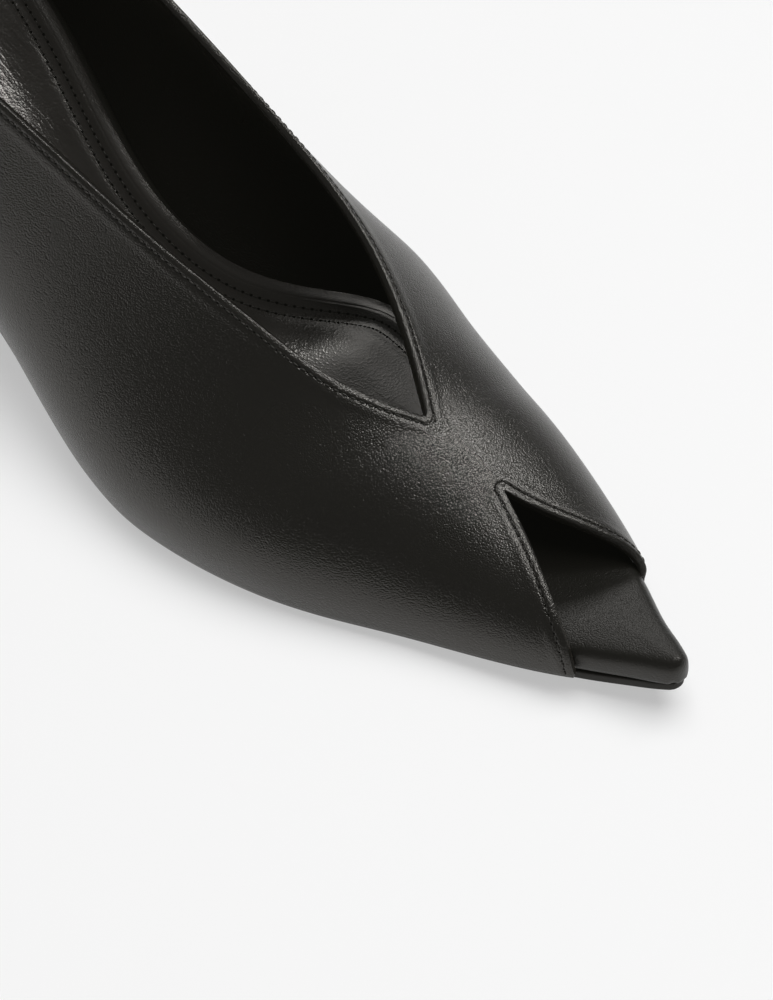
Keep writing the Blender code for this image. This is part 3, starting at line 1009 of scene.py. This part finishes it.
@dataclass
class Sock(Pad):
    """Padded sock lining: a cupped middle inside a sewn channel that follows its outline."""

    channel_in_mm: float = 3.9
    row_gap_mm: float = 1.7
    channel_mm: float = 0.40
    channel_half_mm: float = 1.5
    shoulder_mm: float = 0.6
    swell_mm: float = 0.16
    swell_run_mm: float = 2.0
    border_mm: float = 0.30
    cup_slope: float = 0.35
    cup_reach_mm: float = 14.0
    fill: float = 0.4
    seam_step_mm: float = 0.4
    drop_from: float = 0.2
    seams: list[np.ndarray] = field(default_factory=list)

    def sew(self, outline: np.ndarray, points: np.ndarray) -> None:
        """Args:
            outline: Plan outline of the pad.
            points: Vertices of the fine mesh.
        """
        skin = search_tree(points, self.piece.data)
        insets = (self.channel_in_mm, self.channel_in_mm + self.row_gap_mm)
        self.seams = [self._seam(outline, inset, skin) for inset in insets]

    def relief(self, inset: np.ndarray, points: np.ndarray) -> np.ndarray:
        """Height of the padding in millimetres: border, sewn channel, shoulder and cup.

        Args:
            inset: Distances from the edge in millimetres.
            points: Vertices of the fine mesh; not used.

        Returns:
            Heights in millimetres.
        """
        middle = self.channel_in_mm + self.row_gap_mm / 2.0
        border = self.border_mm * np.sin(np.clip(inset / self.channel_in_mm, 0.0, 1.0) * math.pi)
        rise = np.clip((inset - middle - self.shoulder_mm) / self.swell_run_mm, 0.0, 1.0)
        swell = self.swell_mm * rise * (2.0 - rise)
        channel = self.channel_mm * np.exp(-((inset - middle) / self.channel_half_mm) ** 2)
        climb = np.clip(self.cup_reach_mm - np.maximum(inset, self.channel_in_mm), 0.0, None)
        cup = self.cup_slope * climb**2 / (2.0 * self.cup_reach_mm)
        return border + swell - channel + cup

    def _seam(self, outline: np.ndarray, inset_mm: float, skin: BVHTree) -> np.ndarray:
        """Line on the pad that follows its outline at a distance.

        Args:
            outline: Plan outline, from the front of one side to the front of the other.
            inset_mm: Distance from the outline.
            skin: Search tree over the pad.

        Returns:
            Rows x, y, z, nx, ny, nz at even steps.
        """
        run = np.gradient(outline, axis=0)
        run[:, 2] = 0.0
        run /= np.linalg.norm(run, axis=1)[:, None]
        inward = np.column_stack([run[:, 1], -run[:, 0], np.zeros(len(run))])
        moved = outline + inward * inset_mm * MM
        rows, down = [], Vector((0.0, 0.0, -1.0))
        for point in resampled(moved, self.seam_step_mm * MM):
            place, normal, _, _ = skin.ray_cast(Vector((point[0], point[1], self.drop_from)), down)
            if place is not None:
                rows.append([*place, *normal])
        return np.array(rows)


@dataclass
class Studio:
    """Floor, light and camera of the photograph."""

    sock: bpy.types.Object
    azimuth_deg: float = -42.0
    elevation_deg: float = 48.0
    roll_deg: float = -2.0
    distance: float = 1.033
    focal_px: float = 5929.0
    frame_px: float = 1000.0
    aim: tuple[float, float, float] = (0.00492, -0.05110, 0.015)
    aside: float = 0.00246385
    above: float = 0.01033739
    sensor_mm: float = 36.0
    clip: tuple[float, float] = (0.05, 20.0)
    floor_size: float = 6.0
    floor_cells: int = 4
    floor_tone: float = 0.50
    floor_glow: float = 0.46
    floor_roughness: float = 0.9
    sky: float = 0.12
    veil: tuple[float, float, float] = (0.0024, 0.0024, 0.0019)

    def build(self) -> None:
        """Builds floor, sky, lights and camera."""
        self._floor()
        self._sky()
        for lamp in Lamp:
            self._lamp(lamp)
        self._camera()
        self._film()

    def _film(self) -> None:
        """Sets the picture's tones: a plain transform with the faint veil of the photograph's blacks."""
        view = bpy.context.scene.view_settings
        view.view_transform = "Standard"
        view.use_curve_mapping = True
        view.curve_mapping.black_level = [-level for level in self.veil]
        view.curve_mapping.update()

    def _floor(self) -> None:
        """Adds the pale floor."""
        plane = bmesh.new()
        bmesh.ops.create_grid(plane, x_segments=self.floor_cells, y_segments=self.floor_cells,
                              size=self.floor_size / 2.0)
        mesh = bpy.data.meshes.new("floor")
        plane.to_mesh(mesh)
        plane.free()
        material = bpy.data.materials.new("pale_floor")
        material.use_nodes = True
        shader = material.node_tree.nodes["Principled BSDF"]
        shader.inputs["Base Color"].default_value = (self.floor_tone, self.floor_tone, self.floor_tone, 1.0)
        shader.inputs["Emission Color"].default_value = WHITE
        shader.inputs["Emission Strength"].default_value = self.floor_glow
        shader.inputs["Roughness"].default_value = self.floor_roughness
        shader.inputs["Specular IOR Level"].default_value = 0.0
        mesh.materials.append(material)
        floor = linked("floor", mesh)

    def _sky(self) -> None:
        """Sets even soft light from all round."""
        world = bpy.data.worlds.new("studio")
        world.use_nodes = True
        shade = world.node_tree.nodes["Background"]
        shade.inputs["Color"].default_value = WHITE
        shade.inputs["Strength"].default_value = self.sky
        bpy.context.scene.world = world

    def _lamp(self, lamp: Lamp) -> None:
        """Adds one soft box.

        Args:
            lamp: Its place, size, power, aim and what it gives.
        """
        name, place, width, height, watts, aim, gives = lamp.value
        light = bpy.data.lights.new(name, "AREA")
        light.shape = "RECTANGLE"
        light.size, light.size_y = width, height
        light.energy = watts
        box = linked(name, light)
        box.location = place
        box.visible_diffuse = gives is Lights.SHADE
        box.visible_glossy = gives is not Lights.SHADE
        if gives is Lights.SOCK_SHINE:
            lit = bpy.data.collections.new("lit_by_" + name)
            lit.objects.link(self.sock)
            box.light_linking.receiver_collection = lit
            box.light_linking.blocker_collection = lit
        box.rotation_euler = (Vector(aim) - Vector(place)).to_track_quat("-Z", "Y").to_euler()

    def _camera(self) -> None:
        """Sets the camera at the photograph's angle."""
        a, e, r = (math.radians(v) for v in (self.azimuth_deg, self.elevation_deg, self.roll_deg))
        back = Vector((math.sin(a) * math.cos(e), -math.cos(a) * math.cos(e), math.sin(e)))
        right = Vector((math.cos(a), math.sin(a), 0.0))
        up = back.cross(right)
        right, up = right * math.cos(r) + up * math.sin(r), up * math.cos(r) - right * math.sin(r)
        data = bpy.data.cameras.new("camera")
        data.sensor_width = self.sensor_mm
        data.lens = self.focal_px / self.frame_px * data.sensor_width
        data.clip_start, data.clip_end = self.clip
        camera = linked("camera", data)
        camera.matrix_world = Matrix.Translation(
            Vector(self.aim) + back * self.distance - right * self.aside - up * self.above
        ) @ Matrix((right, up, back)).transposed().to_4x4()
        bpy.context.scene.camera = camera


def main() -> None:
    """Builds the dressed shoe and its studio."""
    logging.basicConfig(level=logging.INFO, format="%(name)s: %(message)s")
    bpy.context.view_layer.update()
    finishes = Finishes(SurfaceGroups())
    upper = Upper("upper", UPPER_LEATHER, "upper", crease=0.88)
    sock = Sock("sock", SOCK_LEATHER, "sock", levels=3, crease=0.4)
    pieces = [
        upper,
        sock,
        Insole("insole", INSOLE_LEATHER, "insole", crease=0.3),
        CadCopy("outsole", SOLE_LEATHER, "outsole", crease=0.9),
        CadCopy("heel", UPPER_LEATHER, "heel", crease=0.7),
        CadCopy("top_piece", TOP_PIECE_RUBBER, "top_piece", crease=0.8),
    ]
    for piece in pieces:
        made = piece.build(finishes)
        LOG.info("%s: %d faces", made.name, len(made.data.polygons))
    edge_rows = Stitches("edge_stitches")
    sock_rows = Stitches("sock_stitches", pitch_mm=1.6, length_mm=0.9, hole_shade_mm=(0.60, 0.52, 0.10))
    for rows, seams, slot in ((edge_rows, upper.seams, "upper"), (sock_rows, sock.seams, "sock")):
        made = rows.build(seams, finishes, slot)
        LOG.info("%s: %d faces", made.name, len(made.data.polygons))
    Studio(sock.piece).build()


if __name__ == "__main__":
    main()
